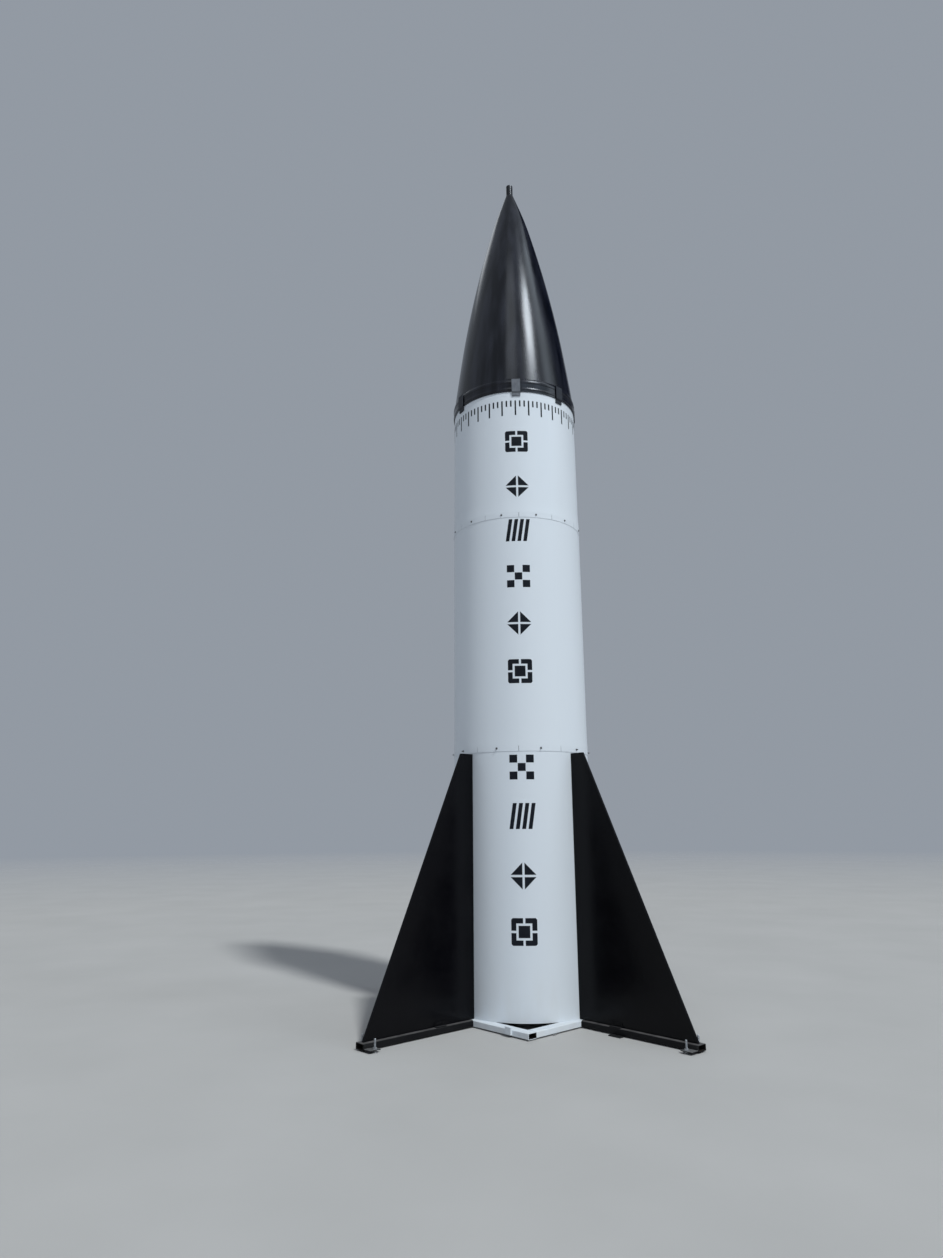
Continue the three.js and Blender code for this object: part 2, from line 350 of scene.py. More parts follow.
def mix_zinc():
    """Bright zinc plate gone slightly dull, with a soft crystal pattern."""
    finish = start_finish("zinc_plate", {"Metallic": 0.9})
    place = add_node(finish, "ShaderNodeTexCoord").outputs["Object"]
    crystals = add_node(finish, "ShaderNodeTexVoronoi", [("Vector", place), ("Scale", 110.0)])
    dullness = grain(finish, 30.0, detail=4.0)
    parts = add_node(finish, "ShaderNodeSeparateColor", [("Color", crystals.outputs["Color"])])
    bright = mix_colours(finish, parts.outputs["Red"], (0.45, 0.46, 0.475), (0.62, 0.63, 0.645))
    dull = spread(finish, dullness, 0.0, 0.5)
    drive(finish, "Base Color", mix_colours(finish, dull, bright, (0.4, 0.4, 0.4)))
    drive(finish, "Roughness", spread(finish, dullness, 0.32, 0.52))
    raise_surface(finish, [(dullness, 0.0001)])
    return finish


def mix_mark_paint():
    """Black stencil paint, matt, thinner in places."""
    finish = start_finish("stencil_black", {"Specular IOR Level": 0.15})
    thin = grain(finish, 14.0, detail=6.0, roughness=0.7)
    drive(finish, "Base Color", mix_colours(
        finish, spread(finish, thin, 0.0, 1.0), (0.005, 0.0065, 0.010), (0.011, 0.013, 0.019)
    ))
    drive(finish, "Roughness", spread(finish, thin, 0.5, 0.65))
    raise_surface(finish, [(grain(finish, 500), 0.00005)])
    return finish


def mix_plain_steel(name, dull, pale):
    """Bare steel gone dull between two greys."""
    finish = start_finish(name, {"Metallic": 0.6})
    patches = grain(finish, 70.0, detail=4.0)
    drive(finish, "Base Color", mix_colours(finish, spread(finish, patches, 0.0, 1.0), dull, pale))
    drive(finish, "Roughness", spread(finish, patches, 0.4, 0.6))
    raise_surface(finish, [(patches, 0.0002)])
    return finish


WHITE = mix_white_paint()
NOSE_BLACK = mix_nose_black()
FIN_BLACK = mix_satin_black("fin_satin_black", 0.0013, 0.003, rough=(0.18, 0.26))
# The tubes' tops are painted paler: dust and a painted highlight.
TUBE_BLACK = mix_satin_black("tube_satin_black", 0.004, 0.009, top("outrigger_front_right"))
BRACKET_BLACK = mix_satin_black("bracket_satin_black", 0.01, 0.03)
# Paler black for the tops of the feet's brackets: partly wear and overspray, partly a painted highlight.
BRACKET_TOP_WEAR_AND_HIGHLIGHT = mix_satin_black("bracket_top_wear_and_painted_highlight", 0.05, 0.2)
SHADE_PRIMER = mix_shade_primer()
# A paler copy of the dark strap steel for the front strap: a painted reflection.
STRAP_GREY_REFLECTION = mix_strap_steel("strap_grey_painted_reflection", (0.115, 0.125, 0.14), (0.17, 0.18, 0.2))
STRAP_DARK = mix_strap_steel("strap_dark", (0.018, 0.02, 0.026), (0.034, 0.038, 0.047))
ZINC = mix_zinc()
MARK_BLACK = mix_mark_paint()
BOLT_STEEL = mix_plain_steel("bolt_steel", (0.08, 0.083, 0.09), (0.2, 0.2, 0.21))
PACKER_STEEL = mix_plain_steel("packer_steel", (0.25, 0.25, 0.25), (0.4, 0.4, 0.39))
DARK_STEEL = mix_plain_steel("dark_packer_steel", (0.02, 0.02, 0.021), (0.045, 0.045, 0.047))


# Making and joining shapes


def added_since(before, items):
    """The verts, edges or faces that are not in the set taken before."""
    return [item for item in items if item not in before]


def chain_of(bm, profile, closed=False):
    """The edges of a (radius, height) profile, drawn in the XZ plane."""
    verts = [bm.verts.new((radius, 0, height)) for radius, height in profile]
    pairs = list(zip(verts, verts[1:]))
    if closed:
        pairs.append((verts[-1], verts[0]))
    return verts + [bm.edges.new(pair) for pair in pairs]


def sweep(bm, geom, angle, steps, **options):
    """Turns what is given about the rocket's middle and returns its far end."""
    axis = {"cent": (0, 0, 0), "axis": (0, 0, 1)}
    return bmesh.ops.spin(bm, geom=geom, angle=angle, steps=steps, **axis, **options)["geom_last"]


def turn(bm, profile, steps, place=Matrix(), closed=False):
    """A turned shape about the place's own Z. Six steps make a hexagon nut or head."""
    before = set(bm.verts)
    sweep(bm, chain_of(bm, profile, closed), math.tau, steps, use_merge=True)
    bmesh.ops.transform(bm, matrix=place, verts=added_since(before, bm.verts))


def repeat_round(bm, count):
    """Copies what is there so that there are count of it, evenly round the rocket."""
    everything = bm.verts[:] + bm.edges[:] + bm.faces[:]
    sweep(bm, everything, math.tau * (count - 1) / count, count - 1, use_duplicate=True)


def round_edges(bm, edges, width, segments=2):
    """Bevels edges."""
    bmesh.ops.bevel(
        bm,
        geom=edges,
        offset=width,
        offset_type="OFFSET",
        affect="EDGES",
        segments=segments,
        profile=0.5,
        material=-1,
    )


def plate(bm, outline, thickness, place=Matrix(), edge=PLATE_EDGE):
    """A plate cut to an outline in the place's XZ plane, centred on its Y = 0, with rounded edges."""
    before = set(bm.verts)
    rim = [bm.verts.new((x, -thickness / 2, z)) for x, z in outline]
    grown = bmesh.ops.extrude_face_region(bm, geom=[bm.faces.new(rim)])["geom"]
    far_side = [item for item in grown if isinstance(item, bmesh.types.BMVert)]
    bmesh.ops.translate(bm, vec=(0, thickness, 0), verts=far_side)
    corners = added_since(before, bm.verts)
    round_edges(bm, list({one for vert in corners for one in vert.link_edges}), edge)
    bmesh.ops.transform(bm, matrix=place, verts=added_since(before, bm.verts))


def block(bm, low_corner, high_corner, place=Matrix(), edge=PLATE_EDGE):
    """A box between two corners with rounded edges."""
    (x0, y0, z0), (x1, y1, z1) = low_corner, high_corner
    middle = Matrix.Translation((0, (y0 + y1) / 2, 0))
    plate(bm, [(x0, z0), (x1, z0), (x1, z1), (x0, z1)], y1 - y0, place @ middle, edge)


def weld(bm, start, end, radius, place=Matrix()):
    """A rippled weld bead between two points."""
    start, end = Vector(start), Vector(end)
    steps = max(int((end - start).length / WELD_PITCH) * 2, 2)
    reach = (end - start).length
    profile = [(0, 0)]
    for step in range(steps + 1):
        ripple = 1.0 + (0.12 if step % 2 else -0.12)
        profile.append((radius * ripple, reach * step / steps))
    profile.append((0, reach))
    along = (end - start).to_track_quat("Z", "Y").to_matrix().to_4x4()
    turn(bm, profile, 10, place @ Matrix.Translation(start) @ along)


def thread(radius, start, end):
    """The zigzag outline of a screw thread from one height to another."""
    turns = round((end - start) / THREAD_PITCH)
    outline = []
    for index in range(turns):
        height = start + (end - start) * index / turns
        outline.append((radius - THREAD_DEPTH, height))
        outline.append((radius, height + THREAD_PITCH / 2))
    return outline


def hexagon(radius, start, end, chamfer=0.0015):
    """The outline of a hexagon nut or head with chamfered rims."""
    return [
        (0, start),
        (radius - chamfer, start),
        (radius, start + chamfer * 0.6),
        (radius, end - chamfer * 0.6),
        (radius - chamfer, end),
        (0, end),
    ]


def disc(radius, start, end, chamfer=0.0005):
    """The outline of a disc or rod with chamfered rims."""
    return [
        (0, start),
        (radius - chamfer, start),
        (radius, start + chamfer),
        (radius, end - chamfer),
        (radius - chamfer, end),
        (0, end),
    ]


def make_object(name, bm, finishes):
    """An object from what has been built, with its finishes in order."""
    mesh = bpy.data.meshes.new(name)
    bm.to_mesh(mesh)
    bm.free()
    for finish in finishes:
        mesh.materials.append(finish)
    made = bpy.data.objects.new(name, mesh)
    bpy.context.scene.collection.objects.link(made)
    return made


def set_down(name, bm, finish, stands_for=(), sharp=SHARP, second=None):
    """The finished piece: its doubles merged, its faces outwards, smooth but for its sharp edges."""
    bmesh.ops.remove_doubles(bm, verts=bm.verts, dist=MERGE)
    bmesh.ops.recalc_face_normals(bm, faces=bm.faces)
    for face in bm.faces:
        face.smooth = True
    for edge in bm.edges:
        edge.smooth = edge.is_manifold and edge.calc_face_angle(0.0) < sharp
    piece = make_object(name, bm, [finish, second] if second else [finish])
    shading = piece.modifiers.new("even_shading", "WEIGHTED_NORMAL")
    shading.keep_sharp = True
    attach(piece, "root")
    if stands_for:
        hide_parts(*stands_for)


# Body


def thicken(bm, wall):
    """Gives an outer skin its wall, inwards."""
    bmesh.ops.remove_doubles(bm, verts=bm.verts, dist=MERGE)
    bmesh.ops.recalc_face_normals(bm, faces=bm.faces)
    bmesh.ops.solidify(bm, geom=bm.faces[:], thickness=wall)


def skirted_shell(profile, slits, first_slit):
    """A section whose skirt is slit from its lower edge, swept one bay at a time."""
    bm = bmesh.new()
    bay = math.tau / slits
    narrow = SLIT_WIDTH / SKIRT_RADIUS
    edge_on = sweep(bm, chain_of(bm, profile), bay - narrow, ROUND_STEPS // slits)
    sweep(bm, edge_on, narrow, 1)
    slit_top = profile[0][1] + SLIT_HEIGHT
    cut = []
    for face in bm.faces:
        middle = face.calc_center_median()
        if math.atan2(middle.y, middle.x) > bay - narrow and middle.z < slit_top:
            cut.append(face)
    bmesh.ops.delete(bm, geom=cut, context="FACES")
    repeat_round(bm, slits)
    thicken(bm, SHEET)
    slit_angle = math.degrees(bay - narrow / 2)
    bmesh.ops.transform(bm, matrix=facing(first_slit - slit_angle), verts=bm.verts)
    return bm


def section_outline(node):
    """The outline of a section's sheet, from its skirt's edge up to its lap inside the next piece."""
    outline = turned_outline(node)
    radius, seam = outline[0]
    head_radius, head = outline[-1]
    return [(radius, seam), (radius, seam + SLIT_HEIGHT), *outline[1:], (head_radius, head + LAP)]


def add_body_sections():
    """The plain lower section and the two with slit skirts, as open shells."""
    lower = bmesh.new()
    turn(lower, [(BODY_RADIUS, low("body_lower")), (BODY_RADIUS, LOWER_SEAM + LAP)], ROUND_STEPS)
    thicken(lower, SHEET)
    set_down("body_lower_shell", lower, WHITE, ["body_lower"])
    # node of the section, number of its slits, azimuth of the first
    for node, slits, first_slit in (("body_middle", 10, -2.4), ("body_upper", 12, 1.6)):
        section = skirted_shell(section_outline(node), slits, first_slit)
        set_down(f"{node}_shell", section, WHITE, [node], math.radians(8))


def add_rolled_welds():
    """The upright weld of each rolled section, ground nearly flush, at the back."""
    # node of the section, azimuth of its weld
    welds = {"body_lower": 180, "body_middle": 162, "body_upper": 197}
    for node, azimuth in welds.items():
        bm = bmesh.new()
        outline = turned_outline(node)
        for (radius, foot), (next_radius, head) in zip(outline, outline[1:]):
            start = (radius - 0.0025, 0, foot + 0.002)
            weld(bm, start, (next_radius - 0.0025, 0, head - 0.002), 0.0035, facing(azimuth))
        set_down(f"{node}_weld", bm, WHITE)


def add_slit_shade_band(name, seam):
    """A thin dark band on the section beneath, which shows in the slits of a skirt: painted shade for the
    slits.
    """
    bm = bmesh.new()
    inner, outer = BODY_RADIUS + 0.0001, BODY_RADIUS + 0.0004
    foot, head = seam + 0.003, seam + LAP - 0.001
    turn(bm, [(inner, foot), (outer, foot), (outer, head), (inner, head)], ROUND_STEPS, closed=True)
    set_down(name, bm, SHADE_PRIMER)


def add_seam_bolts(name, count, first, height, shank):
    """Hexagon bolts with washers, evenly round a skirt. The shank stands out past the nut."""
    washer_top, shank_start, nut_top = 0.0015, 0.0065, 0.007
    bm = bmesh.new()
    place = on_face(facing(first, SKIRT_RADIUS, height))
    turn(bm, disc(0.009, -0.0005, washer_top), 24, place)
    turn(bm, hexagon(0.007, washer_top, nut_top), 6, place)
    if shank:
        shank_outline = [(0, shank_start), *thread(0.004, shank_start, shank), (0, shank)]
        turn(bm, shank_outline, 16, place)
    repeat_round(bm, count)
    set_down(name, bm, BOLT_STEEL)


# Nose


def bead(foot, head, steps=15):
    """A bead on the nose ring between two heights above its foot: a short rise and a long fall above it."""
    ring_radius = turned_outline("nose_ring")[0][0]
    points = []
    for step in range(steps + 1):
        share = step / steps
        if share < BEAD_CREST:
            rise = share / BEAD_CREST
        else:
            rise = 1 + (share - BEAD_CREST) / (1 - BEAD_CREST)
        proud = BEAD_PROUD * math.sin(math.pi / 2 * rise)
        points.append((ring_radius + proud, NOSE_BASE + foot + (head - foot) * share))
    return points


def add_nose():
    """The beaded ring as a collar, the cone with a small lip at its foot, and the tube at its tip."""
    ring_radius, ring_low = turned_outline("nose_ring")[0]
    ring_top_radius, ring_top = turned_outline("nose_ring")[-1]
    inner = ring_radius - RING_WALL
    ring = bmesh.new()
    ring_profile = [(inner, ring_low), (ring_radius, ring_low)]
    for bead_foot, bead_head in BEADS:
        ring_profile += bead(bead_foot, bead_head)
    ring_profile += [(ring_top_radius, ring_top), (inner, ring_top)]
    turn(ring, ring_profile, ROUND_STEPS, closed=True)
    set_down("nose_ring_collar", ring, NOSE_BLACK, ["nose_ring"])

    outline = turned_outline("nose_cone")
    (rim, foot), (next_radius, next_height) = outline[:2]
    lip_height = 0.01
    above_lip = rim + (next_radius - rim) * lip_height / (next_height - foot)
    lip = [
        (rim - 0.002, foot),
        (rim + 0.0012, foot + 0.0015),
        (rim + 0.002, foot + 0.0045),
        (rim + 0.0012, foot + 0.0075),
        (above_lip, foot + lip_height),
    ]
    cone = bmesh.new()
    turn(cone, [(0, foot), *lip, *outline[1:], (0, outline[-1][1])], ROUND_STEPS)
    set_down("nose_cone_shell", cone, NOSE_BLACK, ["nose_cone"])

    tube = bmesh.new()
    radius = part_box("tip_tube")[1].x
    foot, head = low("tip_tube"), top("tip_tube")
    turn(tube, disc(radius, foot, head, 0.004), 64)
    turn(tube, [
        (radius - 0.002, foot),
        (radius + 0.004, foot),
        (radius + 0.003, foot + 0.003),
        (radius - 0.002, foot + 0.006),
    ], 64, closed=True)
    set_down("tip_tube_capped", tube, NOSE_BLACK, ["tip_tube"])


def add_nose_straps():
    """Joggled strap plates across the nose ring, each with two countersunk screws."""
    seat = 0.0003
    on_ring = turned_outline("nose_ring")[0][0] + BEAD_PROUD + seat
    for index, azimuth in enumerate(STRAP_AZIMUTHS):
        node = f"nose_strap_{index + 1}"
        foot, head = low(node) - NOSE_BASE, top(node) - NOSE_BASE
        inner = span(node, azimuth)[0]
        half_width = span(node, azimuth + 90)[1]
        bm = bmesh.new()
        outline = [
            (inner, foot),
            (inner + STRAP_THICKNESS, foot),
            (inner + STRAP_THICKNESS, -STRAP_JOGGLE - 0.004),
            (on_ring + STRAP_THICKNESS, -0.001),
            (on_ring + STRAP_THICKNESS, head),
            (on_ring, head),
            (on_ring, -0.001),
            (inner, -STRAP_JOGGLE),
        ]
        plate(bm, outline, 2 * half_width, facing(azimuth, 0, NOSE_BASE), 0.0012)
        for back, height in ((inner, foot + 0.018), (on_ring, 0.075)):
            screw = on_face(facing(azimuth, back + STRAP_THICKNESS, NOSE_BASE + height))
            turn(bm, STRAP_SCREW, 24, screw)
        # The front strap is a paler copy of the others' dark steel: a painted reflection of the bright sky
        # its face turns to.
        finish, slot = (STRAP_DARK, "black_satin") if index else (STRAP_GREY_REFLECTION, "grey_steel")
        set_down(f"nose_strap_plate_{index + 1}", bm, finish, [node])


# Base frame, outriggers and fins


def rectangular_tube(start, end, place):
    """A tube lying flat along the place's X, open at both ends, its inside in its second finish."""
    bm = bmesh.new()
    bmesh.ops.create_cube(bm, size=1)
    bmesh.ops.scale(bm, vec=(end - start, TUBE_WIDTH, TUBE_HEIGHT), verts=bm.verts)
    lengthwise = []
    for edge in bm.edges:
        one, other = edge.verts
        if abs(one.co.x - other.co.x) > TUBE_WIDTH:
            lengthwise.append(edge)
    round_edges(bm, lengthwise, TUBE_CORNER, 5)
    ends = [face for face in bm.faces if abs(face.normal.x) > 0.9]
    bmesh.ops.delete(bm, geom=ends, context="FACES")
    bmesh.ops.recalc_face_normals(bm, faces=bm.faces)
    bmesh.ops.solidify(bm, geom=bm.faces[:], thickness=TUBE_WALL)
    # The inside faces take the very dark second finish: partly the bare inside, partly painted shade.
    half_width, half_height = (TUBE_WIDTH - TUBE_WALL) / 2, (TUBE_HEIGHT - TUBE_WALL) / 2
    for face in bm.faces:
        middle = face.calc_center_median()
        within = abs(middle.y) < half_width and abs(middle.z) < half_height
        if within and abs(face.normal.x) < 0.5:
            face.material_index = 1
    height = low("base_tube_front_left") + TUBE_HEIGHT / 2
    middle = Matrix.Translation(((start + end) / 2, 0, height))
    bmesh.ops.transform(bm, matrix=place @ middle, verts=bm.verts)
    return bm


def add_base_frame():
    """The four tubes of the square frame, each across its own direction from the middle."""
    quarter_turn = Matrix.Rotation(math.radians(90), 4, "Z")
    for side, azimuth in SIDES.items():
        node = f"base_tube_{side}"
        near, far = span(node, azimuth)
        start, end = span(node, azimuth + 90)
        place = facing(azimuth, (near + far) / 2) @ quarter_turn
        tube = rectangular_tube(start, end, place)
        set_down(f"base_tube_{side}_open", tube, WHITE, [node], second=SHADE_PRIMER)


def add_frame_welds():
    """Beads where the two short tubes of the frame meet the long ones, painted over."""
    bm = bmesh.new()
    for side in ("front_right", "back_left"):
        azimuth = SIDES[side]
        place = facing(azimuth)
        node = f"base_tube_{side}"
        near, far = span(node, azimuth)
        foot, head = low(node), top(node)
        for end in span(node, azimuth + 90):
            weld(bm, (near + TUBE_CORNER, end, head), (far - TUBE_CORNER, end, head), 0.003, place)
            weld(bm, (far, end, foot + TUBE_CORNER), (far, end, head - TUBE_CORNER), 0.003, place)
    set_down("base_frame_welds", bm, WHITE)


def add_small_plates():
    """The lug on the frame's front left tube, and the packers under its front right side."""
    lug = bmesh.new()
    azimuth = SIDES["front_left"]
    near, far = span("base_side_lug", azimuth)
    left, right = span("base_side_lug", azimuth + 90)
    corners = ((near, left, low("base_side_lug")), (far, right, top("base_side_lug")))
    block(lug, *corners, facing(azimuth))
    set_down("base_side_lug_block", lug, WHITE, ["base_side_lug"])
    azimuth = SIDES["front_right"]
    for node, finish in (("base_packer", PACKER_STEEL), ("outrigger_packer", DARK_STEEL)):
        packer = bmesh.new()
        near, far = span(node, azimuth)
        left, right = span(node, azimuth + 90)
        block(packer, (near, left, low(node)), (far, right, top(node)), facing(azimuth), 0.001)
        set_down(f"{node}_plate", packer, finish, [node])


def paint_highlight_on_tops(bm, height):
    """Gives the flat faces that look up from below a height the second finish of their piece, a paler one:
    a painted highlight where light falls from above.
    """
    bmesh.ops.recalc_face_normals(bm, faces=bm.faces)
    for face in bm.faces:
        if face.normal.z > 0.9 and face.calc_center_median().z < height:
            face.material_index = 1


def add_fin_cleats(side, azimuth):
    """A short angle each side of the fin's foot, bolted through it with two bolts."""
    fin_half = span(f"fin_{side}", azimuth + 90)[1]
    ledge = low(f"fin_{side}")
    tip = fin_half + CLEAT_LEG - 0.002
    bm = bmesh.new()
    outline = [
        (fin_half, 0),
        (tip, 0),
        (tip, CLEAT_THICKNESS),
        (fin_half + CLEAT_THICKNESS, CLEAT_THICKNESS),
        (fin_half + CLEAT_THICKNESS, CLEAT_LEG),
        (fin_half, CLEAT_LEG),
    ]
    for hand in (1, -1):
        side_turn = Matrix.Rotation(math.radians(90 * hand), 4, "Z")
        spot = facing(azimuth, CLEAT_PLACE, ledge) @ side_turn
        plate(bm, outline, CLEAT_LENGTH, spot, 0.0008)
        for along in (-0.03, 0.03):
            bolt = spot @ Matrix.Translation((fin_half + CLEAT_THICKNESS, along, 0.022))
            turn(bm, hexagon(0.0065, 0, 0.005, 0.001), 6, on_face(bolt))
    # The tops of the cleats' lower legs get the paler bracket black: a painted highlight.
    paint_highlight_on_tops(bm, ledge + CLEAT_LEG / 2)
    set_down(f"fin_cleats_{side}", bm, FIN_BLACK, second=BRACKET_BLACK)


def add_outrigger(side, azimuth):
    """An outrigger and its welds to the frame."""
    place = facing(azimuth)
    node = f"outrigger_{side}"
    start, end = span(node, azimuth)
    tube = rectangular_tube(start, end, place)
    set_down(f"outrigger_{side}_open", tube, TUBE_BLACK, [node], second=SHADE_PRIMER)

    joint = bmesh.new()
    foot, head = low(node), top(node)
    half, flat_half = TUBE_WIDTH / 2, TUBE_WIDTH / 2 - TUBE_CORNER
    weld(joint, (start, -flat_half, head), (start, flat_half, head), 0.0035, place)
    for hand in (-half, half):
        flank = ((start, hand, foot + TUBE_CORNER), (start, hand, head - TUBE_CORNER))
        weld(joint, *flank, 0.0035, place)
    set_down(f"outrigger_{side}_weld", joint, TUBE_BLACK)


def add_fin(side, azimuth):
    """A flat fin that stands on its outrigger, its top much narrower than its foot."""
    place = facing(azimuth)
    node = f"fin_{side}"
    root, foot_reach = span(node, azimuth)
    left, right = span(node, azimuth + 90)
    foot, head = low(node), top(node)
    along = place.to_3x3() @ Vector((1, 0, 0))
    top_reaches = [
        vert.co.dot(along)
        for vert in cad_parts[node].data.vertices
        if vert.co.z > head - 0.001
    ]
    outline = [(root, foot), (foot_reach, foot), (max(top_reaches), head), (root, head)]
    bm = bmesh.new()
    plate(bm, outline, right - left, place, 0.002)
    set_down(f"fin_{side}_plate", bm, FIN_BLACK, [node])


# Levelling feet


def add_foot_bracket(side, azimuth, letter):
    """A short length of angle on the tube's flank, which the stud passes through, held by two screws."""
    node = f"foot_bracket_{side}_{letter}"
    near, far = span(node, azimuth)
    left, right = span(node, azimuth + 90)
    hand = 1 if right > TUBE_WIDTH / 2 + 0.01 else -1
    wall_face, tip = sorted((abs(left), abs(right)))
    foot, head = low(node), top(node)
    inner_foot = foot + BRACKET_THICKNESS
    inner_face = wall_face + BRACKET_THICKNESS
    bm = bmesh.new()
    outline = [
        (wall_face, foot),
        (tip, foot),
        (tip, inner_foot),
        (inner_face, inner_foot),
        (inner_face, head),
        (wall_face, head),
    ]
    spot = facing(azimuth, (near + far) / 2) @ Matrix.Rotation(math.radians(90 * hand), 4, "Z")
    plate(bm, outline, far - near, spot, 0.001)
    # The top of the bracket's lower leg is paler: partly wear and overspray, partly a painted highlight.
    paint_highlight_on_tops(bm, foot + 2 * BRACKET_THICKNESS)
    for along in (-0.4 * (far - near), 0.4 * (far - near)):
        screw = spot @ Matrix.Translation((inner_face, along, (inner_foot + head) / 2))
        turn(bm, hexagon(0.0075, 0, 0.005, 0.001), 6, on_face(screw))
    set_down(f"{node}_angle", bm, BRACKET_BLACK, [node], second=BRACKET_TOP_WEAR_AND_HIGHLIGHT)


def add_levelling_foot(side, azimuth, letter):
    """A pad on a threaded stud, with a nut and washer above its bracket and a nut below."""
    node = f"levelling_foot_{side}_{letter}"
    bracket = f"foot_bracket_{side}_{letter}"
    near, far = span(node, azimuth)
    left, right = span(node, azimuth + 90)
    pad_radius = (far - near) / 2
    under = low(bracket)
    over = under + BRACKET_THICKNESS
    washer_top = over + 0.002
    spot = facing(azimuth, (near + far) / 2) @ Matrix.Translation((0, (left + right) / 2, 0))
    bm = bmesh.new()
    pad = [
        (0, 0),
        (pad_radius - 0.001, 0),
        (pad_radius, 0.001),
        (pad_radius, 0.003),
        (pad_radius - 0.002, 0.0045),
        (0.016, 0.008),
        (0.011, 0.0105),
        (0, 0.0105),
    ]
    turn(bm, pad, 48, spot)
    turn(bm, hexagon(0.0145, 0.0095, under - 0.0003, 0.001), 6, spot)
    turn(bm, disc(pad_radius - 0.004, over + 0.0002, washer_top), 32, spot)
    turn(bm, hexagon(0.0148, washer_top, over + 0.0125), 6, spot)
    stud_low, stud_top = 0.009, top(node)
    stud = [
        (0, stud_low),
        *thread(STUD_RADIUS, stud_low, stud_top - 0.002),
        (STUD_RADIUS - 0.002, stud_top),
        (0, stud_top),
    ]
    turn(bm, stud, 24, spot)
    set_down(f"{node}_screw", bm, ZINC, [node])


# Painted marks


def bend_onto_body(bm, azimuth, height):
    """Wraps marks drawn flat, X to the right, Z up and -Y outwards, round the body."""
    for vert in bm.verts:
        across, outwards, up = vert.co
        radius = body_radius_at(height + up)
        angle = math.radians(azimuth) + across / radius
        distance = radius - outwards
        vert.co = (distance * math.sin(angle), -distance * math.cos(angle), height + up)


def patch(bm, outline):
    """One flat painted patch, cut into upright strips so that it can bend."""
    before = set(bm.verts) | set(bm.edges) | set(bm.faces)
    rim = [bm.verts.new((x, PAINT_SUNK, z)) for x, z in outline]
    grown = bmesh.ops.extrude_face_region(bm, geom=[bm.faces.new(rim)])["geom"]
    outer = [item for item in grown if isinstance(item, bmesh.types.BMVert)]
    bmesh.ops.translate(bm, vec=(0, -PAINT_SUNK - PAINT_PROUD, 0), verts=outer)
    left = min(x for x, _ in outline)
    right = max(x for x, _ in outline)
    for index in range(1, int((right - left) / PAINT_STRIP) + 1):
        own = added_since(before, bm.verts[:] + bm.edges[:] + bm.faces[:])
        bmesh.ops.bisect_plane(
            bm,
            geom=own,
            dist=0.00001,
            plane_co=(left + PAINT_STRIP * index, 0, 0),
            plane_no=(1, 0, 0),
        )


def quarter_turns(outline):
    """The outline at each of four quarter turns."""
    shapes = []
    for _ in range(4):
        shapes.append(outline)
        outline = [(-z, x) for x, z in outline]
    return shapes


def rectangle(x0, z0, x1, z1):
    """The outline of a rectangle between two corners."""
    return [(x0, z0), (x1, z0), (x1, z1), (x0, z1)]


def target_mark():
    """Four corner brackets round a square."""
    reach, stroke = MARK - 0.012, MARK_STROKE * 0.8
    bracket = [
        (MARK, MARK_GAP),
        (MARK, reach),
        (reach, MARK),
        (MARK_GAP, MARK),
        (MARK_GAP, MARK - stroke),
        (MARK - stroke, MARK - stroke),
        (MARK - stroke, MARK_GAP),
    ]
    core = MARK - stroke - 2 * MARK_GAP
    return quarter_turns(bracket) + [rectangle(-core, -core, core, core)]


def diamond_mark():
    """A diamond cut into quarters."""
    return quarter_turns([(MARK_GAP, MARK_GAP), (MARK, MARK_GAP), (MARK_GAP, MARK)])


def hatch_mark():
    """Four slanted bars."""
    bars = []
    pitch = MARK / 2
    width = pitch * 0.62
    lean = MARK * 0.3
    for index in range(4):
        left = -MARK - lean / 2 + pitch * index + (pitch - width) / 2
        right = left + width
        bars.append([(left, -MARK), (right, -MARK), (right + lean, MARK), (left + lean, MARK)])
    return bars


def checker_mark():
    """Five squares of a board of nine."""
    cell = 2 * MARK / 3
    inset = 0.002
    squares = []
    for column in range(3):
        for row in range(3):
            if (column + row) % 2 == 0:
                x, z = -MARK + cell * column + inset, -MARK + cell * row + inset
                squares.append(rectangle(x, z, x + cell - 2 * inset, z + cell - 2 * inset))
    return squares


def add_mark_column():
    """Ten marks down the front, one above the other."""
    # height of the mark's middle, azimuth, its shape
    marks = [
        (4.971, 0.9, target_mark),
        (4.528, 0.7, diamond_mark),
        (4.107, 0.5, hatch_mark),
        (3.679, 0.3, checker_mark),
        (3.253, 0.1, diamond_mark),
        (2.830, 0.0, target_mark),
        (2.020, -0.3, checker_mark),
        (1.623, -0.4, hatch_mark),
        (1.151, -0.6, diamond_mark),
        (0.725, -0.8, target_mark),
    ]
    for index, (height, azimuth, shape) in enumerate(marks):
        bm = bmesh.new()
        for outline in shape():
            patch(bm, outline)
        bend_onto_body(bm, azimuth, height)
        set_down(f"front_mark_{index + 1}", bm, MARK_BLACK)


def add_scale_ring():
    """A ring of thin ticks round the top of the body, every third one tall."""
    tall, short, width = 0.15, 0.062, 0.014
    middle = 5.31
    spacing = math.radians(4) * body_radius_at(middle)
    bm = bmesh.new()
    for index in range(3):
        height = short if index else tall
        x = spacing * index
        patch(bm, rectangle(x - width / 2, tall / 2 - height, x + width / 2, tall / 2))
    bend_onto_body(bm, 0.6, middle)
    repeat_round(bm, 30)
    set_down("scale_ring", bm, MARK_BLACK)


# Floor, light and camera


